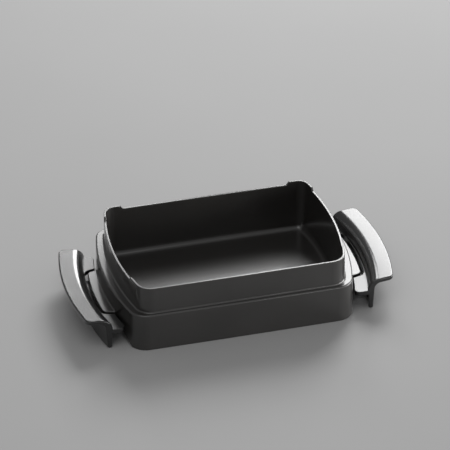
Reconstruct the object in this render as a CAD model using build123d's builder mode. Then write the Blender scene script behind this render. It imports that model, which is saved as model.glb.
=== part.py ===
"""A deep rectangular baking dish with a handle at each end, for the hot plate of a contact grill.

Millimetres, +X to the right, +Y to the rear, +Z up. The origin is on the table, under the middle of the dish.
"""

import os
from math import copysign, cos, radians, sin, sqrt, tan

from build123d import *

os.makedirs("parts", exist_ok=True)

# Plan of the dish. Each end bows on an arc whose centre lies past the middle, in the other half.
rim_length = 280.0
rim_depth = 188.4
end_ledge = 11.7  # how far the skirt stands out past the rim
side_ledge = 5.1
rim_centre = 200.0  # from the middle of the dish to the arc centre of a rim end
skirt_centre = 162.0
end_shift = 6.0  # how far these centres lie to the rear
side_bow = 0.5
rim_front_corner = 20.0
rim_rear_corner = 15.0
skirt_corner_growth = 3.0  # how much rounder the skirt's corners are

# Heights of the dish
rim_height = 84.0
rim_notch_depth = 4.0
ledge_height = 49.5
cavity_floor = 16.0
floor_thickness = 5.0

# Walls and drafts of the casting
rim_wall = 2.6
bowl_wall = 3.0
skirt_wall = 2.8
ledge_thickness = 3.0
upper_draft = 1.2
skirt_draft = 0.9
cavity_draft = 3.0

# Rounded edges of the casting
floor_round = 8.0
floor_corner_share = 0.9  # of the corner's radius at the floor, at most
ledge_round = 2.2
ledge_round_share = 0.51  # of the ledge's flat, at most
wall_foot_round = 2.0
wall_foot_share = 0.47
skirt_foot_round = 1.0
rim_round = 0.7

# Raised stretches of the rim round its corners. Between them, along the rear and both ends, the rim is low.
rear_corner_length = 35.0
rear_corner_depth = 24.2
front_corner_depth = 34.2
notch_slope = 2.5
notch_round = 2.0

# Low arch in the lower edge of the skirt at each end
arch_length = 132.0
arch_height = 13.0
arch_slope = 24.0
arch_round = 12.0

# Tongue cast on each end, which carries a handle
tongue_reach = 13.3
tongue_length = 87.0
tongue_flare = 0.25
tongue_top = 26.2
tongue_thickness = 6.0
tongue_corner = 6.0
tongue_round = 1.2
tongue_root_round = 2.0
boss_diameter = 10.0
boss_height = 4.0
boss_spacing = 48.0
boss_clearance = 1.6  # from the skirt to the washers under the bosses

# Handle section
handle_length = 159.8
handle_shift = -2.9  # how far the handle's middle lies to the rear
handle_centre = 109.0  # from the middle of the dish to the handle's arc centre
wall_thickness = 9.3
foot_inset = 1.9
foot_thickness = 5.5
grip_width = 31.3
grip_tip_height = 42.7
grip_rise = 3.0  # from the shoulder up to the lip's tip
lip_thickness = 5.6
lip_root_drop = 2.6
shoulder_round = 14.5
under_lip_round = 8.0
grip_edge_round = 1.6
foot_round = 2.2
grip_corner = 7.0

# Plate of the handle, which reaches round the tongue with two arms
plate_thickness = 5.4
plate_drop = 0.2  # from the tongue's top down to the plate's
plate_strip = 0.8  # from the gap round the tongue to the handle's wall
arm_clearance = 3.0
arm_corner = 6.0
tongue_gap = 3.9
plate_edge_round = 0.8

# Shelf of the handle under the tongue, and its screws
shelf_thickness = 5.0
shelf_length = 80.0
shelf_clearance = 3.0
shelf_corner = 3.0
screw_diameter = 4.8
screw_tip_chamfer = 0.6
screw_head_diameter = 9.0
screw_head_height = 3.2
screw_head_round = 1.2
screw_recess_width = 4.0
screw_recess_depth = 1.6
screw_engagement = 6.6
hole_depth_spare = 0.8
thread_clearance = 0.2
shelf_hole_clearance = 0.6
washer_diameter = 11.0
washer_thickness = 1.0
washer_clearance = 0.5

# Values that follow from the sizes above
skirt_length = rim_length + 2 * end_ledge
skirt_depth = rim_depth + 2 * side_ledge
skirt_radius = skirt_length / 2 + skirt_centre
skirt_spread = ledge_height * tan(radians(skirt_draft))
foot_length = skirt_length + 2 * skirt_spread
foot_depth = skirt_depth + 2 * skirt_spread
hollow_length = foot_length - 2 * skirt_wall
hollow_depth = foot_depth - 2 * skirt_wall
rim_low = rim_height - rim_notch_depth
wall_spread = (rim_height - ledge_height) * tan(radians(upper_draft))
ledge_flat = min(end_ledge, side_ledge) - wall_spread
ledge_fillet = min(ledge_round, ledge_flat * ledge_round_share)
foot_fillet = min(wall_foot_round, ledge_flat * wall_foot_share)
cavity_depth = rim_height - cavity_floor
floor_corner = min(rim_front_corner, rim_rear_corner) - rim_wall - cavity_depth * tan(radians(cavity_draft))
floor_fillet = min(floor_round, floor_corner * floor_corner_share)
tongue_bottom = tongue_top - tongue_thickness
boss_bottom = tongue_bottom - boss_height
shelf_bottom = boss_bottom - shelf_thickness
tongue_radius = skirt_radius + tongue_reach
wall_radius = skirt_length / 2 + tongue_reach + tongue_gap + plate_strip + handle_centre
plate_root = wall_radius + wall_thickness / 2
handle_front = handle_shift - handle_length / 2
handle_rear = handle_shift + handle_length / 2
boss_radius = skirt_radius + boss_clearance + washer_diameter / 2
boss_angle = boss_spacing / 2 / boss_radius
boss_points = [
    (boss_radius * cos(boss_angle) - skirt_centre, side * boss_radius * sin(boss_angle))
    for side in (-1, 1)
]


def end_arc(radius, start_y, end_y, centre, middle):
    """Start, apex and end of an arc of this radius about (-centre, middle), which bows to the right."""
    return [(sqrt(radius**2 - (y - middle) ** 2) - centre, y) for y in (start_y, middle, end_y)]


def dish_outline(length, depth, centre, growth):
    """The dish's plan at one height: four bowed sides, and corners this much rounder than the rim's."""
    side_y = depth / 2 - side_bow
    right = end_arc(length / 2 + centre, -side_y, side_y, centre, end_shift)
    left = [(-x, y) for x, y in reversed(right)]
    with BuildSketch() as outline:
        with BuildLine():
            ThreePointArc(left[-1], (0, -depth / 2), right[0])
            ThreePointArc(*right)
            ThreePointArc(right[-1], (0, depth / 2), left[0])
            ThreePointArc(*left)
        make_face()
        fillet(outline.vertices().sort_by(Axis.Y)[:2], radius=rim_front_corner + growth)
        fillet(outline.vertices().sort_by(Axis.Y)[-2:], radius=rim_rear_corner + growth)
    return outline.sketch


def drafted_block(plan, start, height, angle):
    """A block of this plan from one height up or down, drawn in by the draft angle."""
    with BuildPart() as block:
        with BuildSketch(Plane.XY.offset(start)):
            add(plan)
        extrude(amount=height)
        sides = block.faces() - block.faces().filter_by(Axis.Z)
        draft(sides, Plane.XY.offset(start), copysign(angle, height))
    return block.part


# Bowl: the outside of the cooking space, which hangs inside the skirt
bowl_spread = 2 * (bowl_wall - rim_wall)
bowl_plan = dish_outline(rim_length + bowl_spread, rim_depth + bowl_spread, rim_centre, 0)
with BuildPart() as bowl:
    add(drafted_block(bowl_plan, rim_height, -(cavity_depth + floor_thickness), cavity_draft))
    bowl_floor = bowl.faces().sort_by(Axis.Z)[0]
    fillet(bowl_floor.edges(), radius=floor_fillet)

# Cavity: the cooking space
cavity_plan = dish_outline(rim_length - 2 * rim_wall, rim_depth - 2 * rim_wall, rim_centre, -rim_wall)
with BuildPart() as cavity:
    add(drafted_block(cavity_plan, rim_height, -cavity_depth, cavity_draft))
    cavity_bottom = cavity.faces().sort_by(Axis.Z)[0]
    fillet(cavity_bottom.edges(), radius=floor_fillet)

# Hollow: the space inside the skirt, round and under the bowl
hollow_plan = dish_outline(hollow_length, hollow_depth, skirt_centre, skirt_corner_growth - skirt_wall)
with BuildPart() as hollow:
    add(drafted_block(hollow_plan, 0, ledge_height - ledge_thickness, skirt_draft))
    add(bowl.part, mode=Mode.SUBTRACT)

# End arches: what is cut from the lower edge of the skirt at both ends
with BuildPart() as end_arches:
    with BuildSketch(Plane.YZ) as arch_profile:
        arch_y = arch_length / 2
        with BuildLine():
            Polyline(
                (-arch_y - arch_slope, 0),
                (arch_y + arch_slope, 0),
                (arch_y, arch_height),
                (-arch_y, arch_height),
                close=True,
            )
        make_face()
        fillet(arch_profile.vertices().sort_by(Axis.Y)[-2:], radius=arch_round)
    extrude(amount=skirt_length, both=True)
    add(bowl.part, mode=Mode.SUBTRACT)

# Rim notches: what is cut from the rim along the rear and along both ends
def notch_profile(start, end):
    """A notch seen square on: flat at the low rim, with sloped and rounded ends."""
    rise = rim_notch_depth + notch_round
    run = notch_slope * rise / rim_notch_depth
    with BuildSketch() as profile:
        with BuildLine():
            Polyline(
                (start, rim_low),
                (end, rim_low),
                (end + run, rim_low + rise),
                (start - run, rim_low + rise),
                close=True,
            )
        make_face()
        fillet(profile.vertices().sort_by(Axis.Y)[:2], radius=notch_round)
    return profile.sketch


with BuildPart() as rim_notches:
    rear_notch = rim_length / 2 - rear_corner_length
    with BuildSketch(Plane.XZ):
        add(notch_profile(-rear_notch, rear_notch))
    extrude(amount=-rim_depth)
    with BuildSketch(Plane.YZ):
        add(notch_profile(front_corner_depth - rim_depth / 2, rim_depth / 2 - rear_corner_depth))
    extrude(amount=rim_length, both=True)

# Tongue: a cast lobe on the right end, with two tapped bosses below
with BuildPart() as tongue:
    tongue_tip = end_arc(tongue_radius, -tongue_length / 2, tongue_length / 2, skirt_centre, 0)
    tip_x, tip_y = tongue_tip[-1]
    root_x = rim_length / 2
    root_y = tip_y + tongue_flare * (tip_x - root_x)
    with BuildSketch(Plane.XY.offset(tongue_bottom)) as tongue_plan:
        with BuildLine():
            ThreePointArc(*tongue_tip)
            Polyline((tip_x, tip_y), (root_x, root_y), (root_x, -root_y), (tip_x, -tip_y))
        make_face()
        fillet(tongue_plan.vertices().sort_by(Axis.X)[-2:], radius=tongue_corner)
    extrude(amount=tongue_thickness)
    fillet(tongue.faces().sort_by(Axis.Z)[-1].edges().sort_by(Axis.X)[1:], radius=tongue_round)
    with BuildSketch(Plane.XY.offset(boss_bottom)):
        with Locations(*boss_points):
            Circle(boss_diameter / 2)
    extrude(amount=boss_height)
    with BuildSketch(Plane.XY.offset(boss_bottom)):
        with Locations(*boss_points):
            Circle((screw_diameter + thread_clearance) / 2)
    extrude(amount=screw_engagement + hole_depth_spare, mode=Mode.SUBTRACT)

# Baking dish: skirt, ledge, upper wall and tongues in one casting
skirt_plan = dish_outline(foot_length, foot_depth, skirt_centre, skirt_corner_growth)
wall_plan = dish_outline(rim_length + 2 * wall_spread, rim_depth + 2 * wall_spread, rim_centre, 0)
with BuildPart() as baking_dish:
    add(drafted_block(skirt_plan, 0, ledge_height, skirt_draft))
    fillet(baking_dish.faces().sort_by(Axis.Z)[-1].edges(), radius=ledge_fillet)
    fillet(baking_dish.faces().sort_by(Axis.Z)[0].edges(), radius=skirt_foot_round)
    add(drafted_block(wall_plan, ledge_height, rim_height - ledge_height, upper_draft))
    fillet(baking_dish.edges(Select.LAST).group_by(Axis.Z)[0], radius=foot_fillet)
    add(tongue.part)
    fillet(baking_dish.edges(Select.NEW).sort_by(Axis.Z)[1:], radius=tongue_root_round)
    mirror(tongue.part, about=Plane.YZ)
    fillet(baking_dish.edges(Select.NEW).sort_by(Axis.Z)[1:], radius=tongue_root_round)
    add(hollow.part, mode=Mode.SUBTRACT)
    add(end_arches.part, mode=Mode.SUBTRACT)
    add(cavity.part, mode=Mode.SUBTRACT)
    add(rim_notches.part, mode=Mode.SUBTRACT)
    step_edges = baking_dish.edges().group_by(Axis.Z)[-1]
    fillet(step_edges.filter_by(Axis.X) + step_edges.filter_by(Axis.Y), radius=notch_round)
    top_edges = baking_dish.edges().filter_by_position(Axis.Z, rim_low - rim_round, rim_height + rim_round)
    cross_edges = top_edges.filter_by(Axis.X) + top_edges.filter_by(Axis.Y)
    fillet(top_edges - cross_edges, radius=rim_round)
baking_dish.part.label = "baking_dish"
export_step(baking_dish.part, "parts/baking_dish.step")

# Plate: the flat C of the right handle, whose arms reach round the tongue
with BuildPart() as plate:
    arm_edge = end_arc(skirt_radius + arm_clearance, handle_front, handle_rear, skirt_centre, end_shift)
    wall_line = end_arc(plate_root, handle_rear, handle_front, handle_centre, handle_shift)
    with BuildSketch(Plane.XY.offset(tongue_top - plate_drop - plate_thickness)) as plate_plan:
        with BuildLine():
            ThreePointArc(*arm_edge)
            Line(arm_edge[-1], wall_line[0])
            ThreePointArc(*wall_line)
            Line(wall_line[-1], arm_edge[0])
        make_face()
        fillet(plate_plan.vertices().sort_by(Axis.X)[:2], radius=arm_corner)
        offset(tongue_plan.sketch_local, amount=tongue_gap, mode=Mode.SUBTRACT)
    extrude(amount=plate_thickness)
    fillet(plate.faces().sort_by(Axis.Z)[-1].edges(), radius=plate_edge_round)

# Shelf: the web of the right handle under the tongue's bosses
with BuildPart() as shelf:
    shelf_y = shelf_length / 2
    shelf_edge = end_arc(skirt_radius + shelf_clearance, -shelf_y, shelf_y, skirt_centre, end_shift)
    shelf_root = end_arc(plate_root, shelf_y, -shelf_y, handle_centre, handle_shift)
    with BuildSketch(Plane.XY.offset(shelf_bottom)) as shelf_plan:
        with BuildLine():
            ThreePointArc(*shelf_edge)
            Line(shelf_edge[-1], shelf_root[0])
            ThreePointArc(*shelf_root)
            Line(shelf_root[-1], shelf_edge[0])
        make_face()
        fillet(shelf_plan.vertices().sort_by(Axis.X)[:2], radius=shelf_corner)
        with Locations(*boss_points):
            Circle((screw_diameter + shelf_hole_clearance) / 2, mode=Mode.SUBTRACT)
    extrude(amount=shelf_thickness)

# Right handle: a wall down to the table with a finger lip along its top
with BuildPart() as right_handle:
    section_plane = Plane(origin=(-handle_centre, handle_shift, 0), x_dir=(-1, 0, 0), z_dir=(0, 1, 0))
    grip_radius = wall_radius + grip_width
    lip_bottom = grip_tip_height - lip_thickness
    shoulder = (wall_radius, grip_tip_height - grip_rise)
    under_lip = (wall_radius + wall_thickness, lip_bottom - lip_root_drop)
    with BuildSketch(section_plane) as section:
        with BuildLine():
            Polyline(
                (wall_radius + foot_inset, 0),
                shoulder,
                (grip_radius, grip_tip_height),
                (grip_radius, lip_bottom),
                under_lip,
                (wall_radius + foot_inset + foot_thickness, 0),
                close=True,
            )
        make_face()
        fillet(section.vertices().sort_by_distance(shoulder)[0], radius=shoulder_round)
        fillet(section.vertices().sort_by_distance(under_lip)[0], radius=under_lip_round)
        fillet(section.vertices().sort_by(Axis.Y)[:2], radius=foot_round)
    revolve(axis=Axis((-handle_centre, handle_shift, 0), (0, 0, 1)))
    grip_edge = end_arc(grip_radius, handle_front, handle_rear, handle_centre, handle_shift)
    with BuildSketch() as grip_plan:
        with BuildLine():
            ThreePointArc(*grip_edge)
            Polyline(grip_edge[-1], (0, handle_rear), (0, handle_front), grip_edge[0])
        make_face()
        fillet(grip_plan.vertices().sort_by(Axis.X)[-2:], radius=grip_corner)
    extrude(amount=grip_tip_height, mode=Mode.INTERSECT)
    end_faces = right_handle.faces().filter_by(Axis.Y)
    fillet(end_faces.edges().filter_by(GeomType.HYPERBOLA), radius=grip_edge_round)
    add(plate.part)
    add(shelf.part)
right_handle.part.label = "right_handle"
export_step(right_handle.part, "parts/right_handle.step")

# Left handle: the right one mirrored
with BuildPart() as left_handle:
    mirror(right_handle.part, about=Plane.YZ)
left_handle.part.label = "left_handle"
export_step(left_handle.part, "parts/left_handle.step")

# Screw: pan head below the shelf's washer, shank up into a boss
washer_bottom = shelf_bottom - washer_thickness
with BuildPart() as screw:
    with BuildSketch(Plane.XY.offset(washer_bottom)):
        Circle(screw_head_diameter / 2)
    extrude(amount=-screw_head_height)
    head_face = screw.faces().sort_by(Axis.Z)[0]
    fillet(head_face.edges(), radius=screw_head_round)
    with BuildSketch(Plane.XY.offset(washer_bottom)):
        Circle(screw_diameter / 2)
    extrude(amount=washer_thickness + shelf_thickness + screw_engagement)
    chamfer(screw.faces().sort_by(Axis.Z)[-1].edges(), length=screw_tip_chamfer)
    with BuildSketch(Plane.XY.offset(washer_bottom - screw_head_height)):
        RegularPolygon(screw_recess_width / 2, 6, major_radius=False)
    extrude(amount=screw_recess_depth, mode=Mode.SUBTRACT)

# Washer between a screw head and the shelf
with BuildPart() as washer:
    with BuildSketch(Plane.XY.offset(washer_bottom)):
        Circle(washer_diameter / 2)
        Circle((screw_diameter + washer_clearance) / 2, mode=Mode.SUBTRACT)
    extrude(amount=washer_thickness)

# Fasteners of both handles, two of each a side
for side_name, side in (("left", -1), ("right", 1)):
    places = [(side * x, y, 0) for x, y in boss_points]
    for kind_name, kind in (("screws", screw), ("washers", washer)):
        with BuildPart() as group:
            with Locations(*places):
                add(kind.part)
        group.part.label = f"{side_name}_handle_{kind_name}"
        export_step(group.part, f"parts/{side_name}_handle_{kind_name}.step")
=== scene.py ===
# %% [markdown]
# # A deep baking dish with end handles
#
# The solids of this dish are already worked out: one casting, two moulded handles and their screws.
# They arrive here as fixed meshes at their real size, in metres, with +X to the right, +Y to the rear
# and +Z up. This lesson gives them their finishes, a camera, a floor and studio light. Nothing here
# moves or resizes a solid.

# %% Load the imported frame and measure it
from math import cos, radians, sin, tan

import bpy
import numpy as np
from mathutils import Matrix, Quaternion, Vector


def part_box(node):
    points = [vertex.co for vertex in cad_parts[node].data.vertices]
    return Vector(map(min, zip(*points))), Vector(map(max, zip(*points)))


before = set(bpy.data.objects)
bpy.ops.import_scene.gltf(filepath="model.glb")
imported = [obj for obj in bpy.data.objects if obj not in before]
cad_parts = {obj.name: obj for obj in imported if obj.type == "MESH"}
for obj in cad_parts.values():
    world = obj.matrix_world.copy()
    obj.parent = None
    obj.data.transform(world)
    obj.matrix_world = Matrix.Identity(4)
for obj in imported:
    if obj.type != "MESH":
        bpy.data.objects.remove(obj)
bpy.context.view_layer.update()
scene = bpy.context.scene
scene.view_settings.view_transform = "Standard"
for name in sorted(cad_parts):
    low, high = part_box(name)
    print(name, "measures", [round(1000 * length, 1) for length in high - low], "mm")

# %% [markdown]
# ## The camera
#
# The photograph was taken from the front, a little to the left and well above the rim, through a very
# long lens: the left and right handles come out almost the same size. A long lens far away keeps those
# parallel lines. The camera could be aimed at the dish and shifted, but aiming it at a point above and
# behind the middle frames the dish just as well and needs no shift, so other views stay centred.

# %% Set up the camera
LOOK_AZIMUTH = 14.87
LOOK_ELEVATION = -33.32
VIEW_DISTANCE = 3.672
VIEW_CENTRE = Vector((0.0075, 0.0247, 0.0792))
LENS_MM = 240.0
SENSOR_MM = 36.0


def direction(azimuth, elevation):
    """A vector of length 1 in this direction. The azimuth counts from the rear to the right, in degrees."""
    level = cos(radians(elevation))
    return Vector((sin(radians(azimuth)) * level, cos(radians(azimuth)) * level, sin(radians(elevation))))


look = direction(LOOK_AZIMUTH, LOOK_ELEVATION)
camera_data = bpy.data.cameras.new("studio_camera")
camera_data.lens = LENS_MM
camera_data.sensor_width = SENSOR_MM
camera = bpy.data.objects.new("studio_camera", camera_data)
camera.location = VIEW_CENTRE - look * VIEW_DISTANCE
camera.rotation_euler = look.to_track_quat("-Z", "Y").to_euler()
scene.collection.objects.link(camera)
scene.camera = camera
print("camera stands at", [round(value, 3) for value in camera.location])

# %% [markdown]
# ## Shader maths as plain sums
#
# A finish is a small tree of shader nodes. Wiring each node by hand hides the formula, so a socket is
# wrapped in a class with operators: `0.4 + 0.1 * cloud` then adds the two Math nodes by itself.

# %% Define Signal
def math_operator(operation, swapped=False):
    """A method that joins two signals, or a signal and a number, with one Math node."""

    def join(self, other):
        first, second = (other, self) if swapped else (self, other)
        return self.finish.node("ShaderNodeMath", {"operation": operation}, {0: first, 1: second})

    return join


class Signal:
    """One output of a shader tree. Arithmetic on it adds Math nodes to that tree."""

    def __init__(self, finish, socket):
        self.finish = finish
        self.socket = socket

    __add__ = __radd__ = math_operator("ADD")
    __mul__ = __rmul__ = math_operator("MULTIPLY")
    __sub__ = math_operator("SUBTRACT")
    __rsub__ = math_operator("SUBTRACT", swapped=True)
    __pow__ = math_operator("POWER")
    at_least = math_operator("MAXIMUM")

    def __abs__(self):
        return self.at_least(-1.0 * self)


# %% [markdown]
# ## A finish
#
# Each material on the object is one finish: a Principled shader and the tree that feeds it. Every node
# comes from one method, which takes the node's type, its settings and its sockets. The other methods
# name the few things that a finish is made of here: noise, specks, ramps, mixed colours and bumps. All
# of them start from the place of a point on the object, so a pattern stays where it is from every side.

# %% Define Finish
class Finish:
    """A material with one Principled shader, which takes numbers, colours and signals."""

    def __init__(self, name):
        self.material = bpy.data.materials.new(name)
        self.material.use_nodes = True
        self.tree = self.material.node_tree
        self.shader = self.tree.nodes["Principled BSDF"]
        self.place = self.node("ShaderNodeTexCoord", output="Object")

    def feed(self, socket, value):
        """Links a signal to a socket, or writes a number or colour on it."""
        if isinstance(value, Signal):
            self.tree.links.new(value.socket, socket)
        else:
            socket.default_value = value

    def node(self, kind, settings=None, sockets=None, output=0):
        """Adds one node, sets its settings first and then its sockets, and returns one of its outputs."""
        made = self.tree.nodes.new(kind)
        for key, value in (settings or {}).items():
            setattr(made, key, value)
        for key, value in (sockets or {}).items():
            self.feed(made.inputs[key], value)
        return Signal(self, made.outputs[output])

    def axes(self):
        """X, Y and Z of the surface point, as three signals."""
        split = self.node("ShaderNodeSeparateXYZ", sockets={0: self.place})
        return [Signal(self, socket) for socket in split.socket.node.outputs]

    def noise(self, scale, detail=2.0):
        """Soft noise from 0 to 1, with this many bumps to the metre."""
        sockets = {"Vector": self.place, "Scale": scale, "Detail": detail}
        return self.node("ShaderNodeTexNoise", sockets=sockets)

    def specks(self, scale, size):
        """Round specks, this many to the metre: 1 in the middle, 0 from this share of a speck's cell on."""
        cells = {"Vector": self.place, "Scale": scale}
        distance = self.node("ShaderNodeTexVoronoi", {"feature": "F1"}, cells)
        return self.ramp(distance, 0.5 * size, size, low=1.0, high=0.0)

    def ramp(self, value, start, end, low=0.0, high=1.0):
        """Goes smoothly from low to high while the value goes from start to end."""
        limits = {"Value": value, 1: start, 2: end, 3: low, 4: high}
        return self.node("ShaderNodeMapRange", {"interpolation_type": "SMOOTHSTEP"}, limits)

    def mix(self, factor, first, second):
        """A colour that goes from the first to the second while the factor goes from 0 to 1."""
        return self.node("ShaderNodeMix", {"data_type": "RGBA"}, {0: factor, 6: first, 7: second}, output=2)

    def bump(self, height, distance):
        """A normal that tilts as if the surface rose by the height times this distance, in metres."""
        return self.node("ShaderNodeBump", sockets={"Height": height, "Distance": distance, "Strength": 1.0})

    def surface(self, **inputs):
        """Feeds the Principled shader, with underscores in place of the spaces of its socket names."""
        for key, value in inputs.items():
            self.feed(self.shader.inputs[key.replace("_", " ")], value)

    def dress(self, *names):
        """Gives this finish to nodes of the frame."""
        for name in names:
            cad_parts[name].data.materials[0] = self.material
        print(self.material.name, "has", len(self.tree.nodes), "shader nodes and dresses", ", ".join(names))


def grey(level, warmth=0.0):
    """A colour of this level, a little warmer or cooler than grey."""
    return (level * (1 + warmth), level, level * (1 - warmth), 1.0)


# %% [markdown]
# ## Where the dish is inside and where outside
#
# The casting is one mesh, but its coat differs: the cooking space is sprayed with a smooth, darker
# non-stick coat, and the outside with a duller one. Two materials would need two meshes, and this mesh
# has to stay as it is. So the finish works out from the place of a point whether it lies inside the
# middle of the wall. The rim's plan is a rectangle with bowed ends and round corners, and its length,
# depth and height are measured on the mesh.

# %% Measure the rim
RIM_BAND = 0.001
UPPER_SHARE = 0.9

dish_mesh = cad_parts["baking_dish"].data
dish_points = np.empty(3 * len(dish_mesh.vertices))
dish_mesh.vertices.foreach_get("co", dish_points)
dish_points = dish_points.reshape(-1, 3)
rim_height = float(dish_points[:, 2].max())
rim_points = dish_points[dish_points[:, 2] > rim_height - RIM_BAND]
rim_half_depth = float(np.abs(rim_points[:, 1]).max())
upper_points = dish_points[dish_points[:, 2] > UPPER_SHARE * rim_height]
rim_half_length = float(np.abs(upper_points[:, 0]).max())
rim_size = [round(1000 * size, 1) for size in (2 * rim_half_length, 2 * rim_half_depth, rim_height)]
print("rim length, depth and height are", rim_size, "mm")

# %% [markdown]
# ## The mask of the inside
#
# A point's distance past the bowed end and past the long side are both measured from where the corner's
# round starts. Their hypotenuse, less the corner's radius, is the distance from the outline. The
# outline moves inwards with the middle of the wall from the rim down, because the cavity tapers more
# than the outside does.

# %% Define the mask
END_RADIUS = 0.340
END_SHIFT = 0.006
CORNER = 0.0175
HALF_WALL = 0.0013
UPPER_DRAFT = 1.2
CAVITY_DRAFT = 3.0
WALL_SPREAD = 0.5 * (tan(radians(CAVITY_DRAFT)) - tan(radians(UPPER_DRAFT)))
UNDER_FLOOR = 0.0135
MASK_EDGE = 0.0003


def inside_mask(finish):
    """1 inside the cooking space and 0 outside it."""
    x, y, z = finish.axes()
    end_centre = END_RADIUS - rim_half_length
    past_end = ((abs(x) + end_centre) ** 2.0 + (y - END_SHIFT) ** 2.0) ** 0.5 - (END_RADIUS - CORNER)
    past_side = abs(y) - (rim_half_depth - CORNER)
    outline = (past_end.at_least(0.0) ** 2.0 + past_side.at_least(0.0) ** 2.0) ** 0.5 - CORNER
    wall_middle = outline + HALF_WALL + (rim_height - z) * WALL_SPREAD
    within = finish.ramp(wall_middle, -MASK_EDGE, MASK_EDGE, low=1.0, high=0.0)
    return within * finish.ramp(z, UNDER_FLOOR - MASK_EDGE, UNDER_FLOOR + MASK_EDGE)


print("the middle of the wall moves inwards by", round(WALL_SPREAD, 4), "of the depth below the rim")

# %% [markdown]
# ## The coat on the dish
#
# The dish is die-cast aluminium under a sprayed, baked coat. Up close such a coat is never one flat
# black: it lies a little unevenly, has a fine orange peel from the spray and carries tiny mineral
# flecks. A painted picture could show that from one side only. Noise in the object's own space covers
# every side at the same scale, and the same noise drives colour, gloss and bump, so they agree.

# %% Finish the dish
CLOUD_SCALE = 18.0
PEEL_SCALE = 900.0
GRIT_SCALE = 3200.0
FLECK_SCALE = 1100.0
FLECK_SIZE = 0.16
FLECK_STRENGTH = 0.4
COAT_RELIEF = 0.00003

dish_coat = Finish("dish_coat")
inside = inside_mask(dish_coat)
cloud = dish_coat.noise(CLOUD_SCALE, detail=4.0)
peel = dish_coat.noise(PEEL_SCALE, detail=1.0)
grit = dish_coat.noise(GRIT_SCALE, detail=2.0)
fleck = dish_coat.specks(FLECK_SCALE, FLECK_SIZE)
outer_colour = dish_coat.mix(cloud, grey(0.013, 0.08), grey(0.019, 0.08))
inner_colour = dish_coat.mix(cloud, grey(0.012, 0.10), grey(0.017, 0.10))
coat_colour = dish_coat.mix(inside, outer_colour, inner_colour)
dish_coat.surface(
    Base_Color=dish_coat.mix(FLECK_STRENGTH * fleck, coat_colour, grey(0.075, 0.04)),
    Roughness=0.38 + 0.08 * cloud + 0.05 * grit - 0.08 * inside,
    Normal=dish_coat.bump(0.7 * peel + 0.3 * grit, COAT_RELIEF),
    Coat_Weight=0.7 + 0.3 * cloud,
    Coat_Roughness=0.13,
    IOR=1.58,
)
dish_coat.dress("baking_dish")

# %% [markdown]
# ## The resin of the handles
#
# The handles are moulded from a black heat-proof resin. The mould leaves a fine grain, and hands polish
# it away where they hold it: along the top of the lip. The lip is the highest part of a handle, so
# height alone tells how worn a point is, and the worn top gets a lower roughness and loses its grain.

# %% Finish the handles
WORN_FROM = 0.030
WORN_TO = 0.041
SHEEN_SCALE = 26.0
GRAIN_SCALE = 2400.0
GRAIN_RELIEF = 0.000008

handle_resin = Finish("handle_resin")
height = handle_resin.axes()[2]
worn = handle_resin.ramp(height, WORN_FROM, WORN_TO)
sheen = handle_resin.noise(SHEEN_SCALE, detail=4.0)
grain = handle_resin.noise(GRAIN_SCALE, detail=2.0) * (1.0 - worn)
handle_resin.surface(
    Base_Color=handle_resin.mix(sheen, grey(0.004), grey(0.007)),
    Roughness=0.31 + 0.06 * sheen + 0.05 * grain - 0.16 * worn,
    Normal=handle_resin.bump(grain, GRAIN_RELIEF),
    IOR=1.62,
    Coat_Weight=0.45 + 0.25 * worn,
    Coat_Roughness=0.14,
)
handle_resin.dress("left_handle", "right_handle")

# %% [markdown]
# ## The screws and washers
#
# Four pan-head screws with washers hold the handles from below. They are zinc-plated steel: a bright
# grey metal with a faint haze where the plating is thicker, and fine scratches from the driver. One
# finish serves all of them.

# %% Finish the screws and washers
HAZE_SCALE = 400.0
SCRATCH_SCALE = 5000.0
SCRATCH_RELIEF = 0.000004

screw_steel = Finish("screw_steel")
haze = screw_steel.noise(HAZE_SCALE, detail=3.0)
scratch = screw_steel.noise(SCRATCH_SCALE, detail=1.0)
screw_steel.surface(
    Base_Color=screw_steel.mix(haze, grey(0.50, -0.01), grey(0.62, -0.02)),
    Metallic=1.0,
    Roughness=0.24 + 0.16 * haze + 0.06 * scratch,
    Normal=screw_steel.bump(scratch, SCRATCH_RELIEF),
)
screw_steel.dress(*(f"{side}_handle_{kind}" for side in ("left", "right") for kind in ("screws", "washers")))

# %% [markdown]
# ## The floor
#
# A roll of pale studio paper. Only its evenness matters: it bounces light up under the lip and the
# skirt, and it carries the dish's shadow. It is a grid of four corners, big enough that its edge stays
# out of every view.

# %% Lay the floor
FLOOR_REACH = 12.0
FLOOR_TONE_SCALE = 3.0


def grid_mesh(name, points):
    """A mesh through an array of points, rows by columns: each four neighbours make one face."""
    rows, columns, _ = points.shape
    corner = np.arange(rows * columns).reshape(rows, columns)
    faces = np.stack((corner[:-1, :-1], corner[:-1, 1:], corner[1:, 1:], corner[1:, :-1]), axis=-1)
    mesh = bpy.data.meshes.new(name)
    mesh.from_pydata(points.reshape(-1, 3), [], faces.reshape(-1, 4).tolist())
    made = bpy.data.objects.new(name, mesh)
    scene.collection.objects.link(made)
    return made


span = np.linspace(-FLOOR_REACH, FLOOR_REACH, 2)
across, along = np.meshgrid(span, span)
floor = grid_mesh("studio_floor", np.stack((across, along, 0 * across), axis=-1))
floor_paper = Finish("floor_paper")
floor_tone = floor_paper.noise(FLOOR_TONE_SCALE, detail=3.0)
floor_paper.surface(Base_Color=floor_paper.mix(floor_tone, grey(0.46), grey(0.50)), Roughness=0.7)
floor.data.materials.append(floor_paper.material)
print("floor reaches", FLOOR_REACH, "m from the middle")

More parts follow.
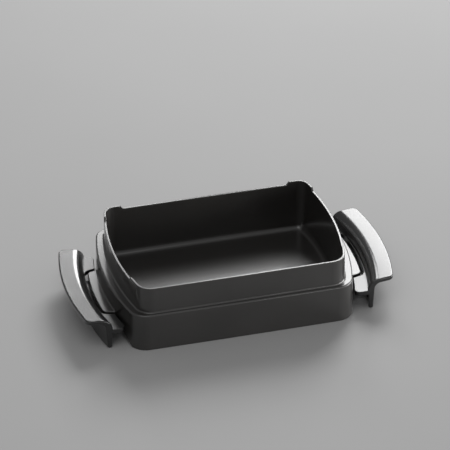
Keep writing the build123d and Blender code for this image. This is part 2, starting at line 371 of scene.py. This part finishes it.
# %% [markdown]
# ## The light
#
# Black things are lit by what they mirror, so the lamps are placed where the surfaces look. Seen from
# the camera, the right ledge, tongue and handle mirror a spot high up behind the dish, to its right.
# The left handle's lip leans towards the dish and mirrors a spot just beside that. One large softbox
# stands there, turned until its left edge runs between the two: the right handle shines, the left one
# stays grey, and the left shoulder catches the edge as a bright line. A smaller softbox to the left
# serves the left ledge and tongue. The front wall mirrors the floor, so a lamp over the front lights
# that floor. A low strip draws the thin lines along the ledge, and a low lamp at the right rounds off
# the corner.
#
# The two low lamps would burn a white patch into the floor beside them. In a studio a dark board,
# called a flag, keeps a lamp off what it should not light. Light linking does the same here: it leaves
# the floor out.

# %% Set up the lamps
WORLD_LEVEL = 0.28
LAMP_AIM = Vector((0.0, 0.0, 0.04))

world = bpy.data.worlds.new("studio_world")
world.use_nodes = True
backdrop = world.node_tree.nodes["Background"]
backdrop.inputs["Color"].default_value = grey(1.0)
backdrop.inputs["Strength"].default_value = WORLD_LEVEL
scene.world = world
off_floor = bpy.data.collections.new("off_floor")
off_floor.objects.link(floor)
off_floor.collection_objects[0].light_linking.link_state = "EXCLUDE"


def softbox(name, azimuth, elevation, distance, width, height, radiance, roll=0.0, flagged=False):
    """A rectangular lamp that faces the dish from this direction, as bright as the radiance says.

    The roll turns the lamp about the line to the dish, in degrees. A flagged lamp doesn't light the floor.
    """
    outward = direction(azimuth, elevation)
    data = bpy.data.lights.new(name, "AREA")
    data.shape = "RECTANGLE"
    data.size = width
    data.size_y = height
    data.energy = radiance * np.pi * width * height
    lamp = bpy.data.objects.new(name, data)
    lamp.location = LAMP_AIM + outward * distance
    turned = Quaternion(outward, radians(roll)) @ (-outward).to_track_quat("-Z", "Y")
    lamp.rotation_euler = turned.to_euler()
    scene.collection.objects.link(lamp)
    if flagged:
        lamp.light_linking.receiver_collection = off_floor
    print(name, round(data.energy, 1), "W")


softbox(
    "rear_softbox", azimuth=30.1, elevation=36.7, distance=2.9,
    width=1.13, height=1.50, radiance=9.3, roll=-29.0,
)
softbox(
    "left_softbox", azimuth=6.0, elevation=27.8, distance=2.9,
    width=0.55, height=0.66, radiance=6.5,
)
softbox(
    "top_softbox", azimuth=-150.0, elevation=60.0, distance=2.2,
    width=1.6, height=1.6, radiance=0.9,
)
softbox(
    "front_softbox", azimuth=142.0, elevation=7.0, distance=1.5,
    width=1.4, height=0.30, radiance=3.8, flagged=True,
)
softbox(
    "side_softbox", azimuth=98.0, elevation=8.0, distance=1.4,
    width=1.0, height=0.4, radiance=15.0, flagged=True,
)
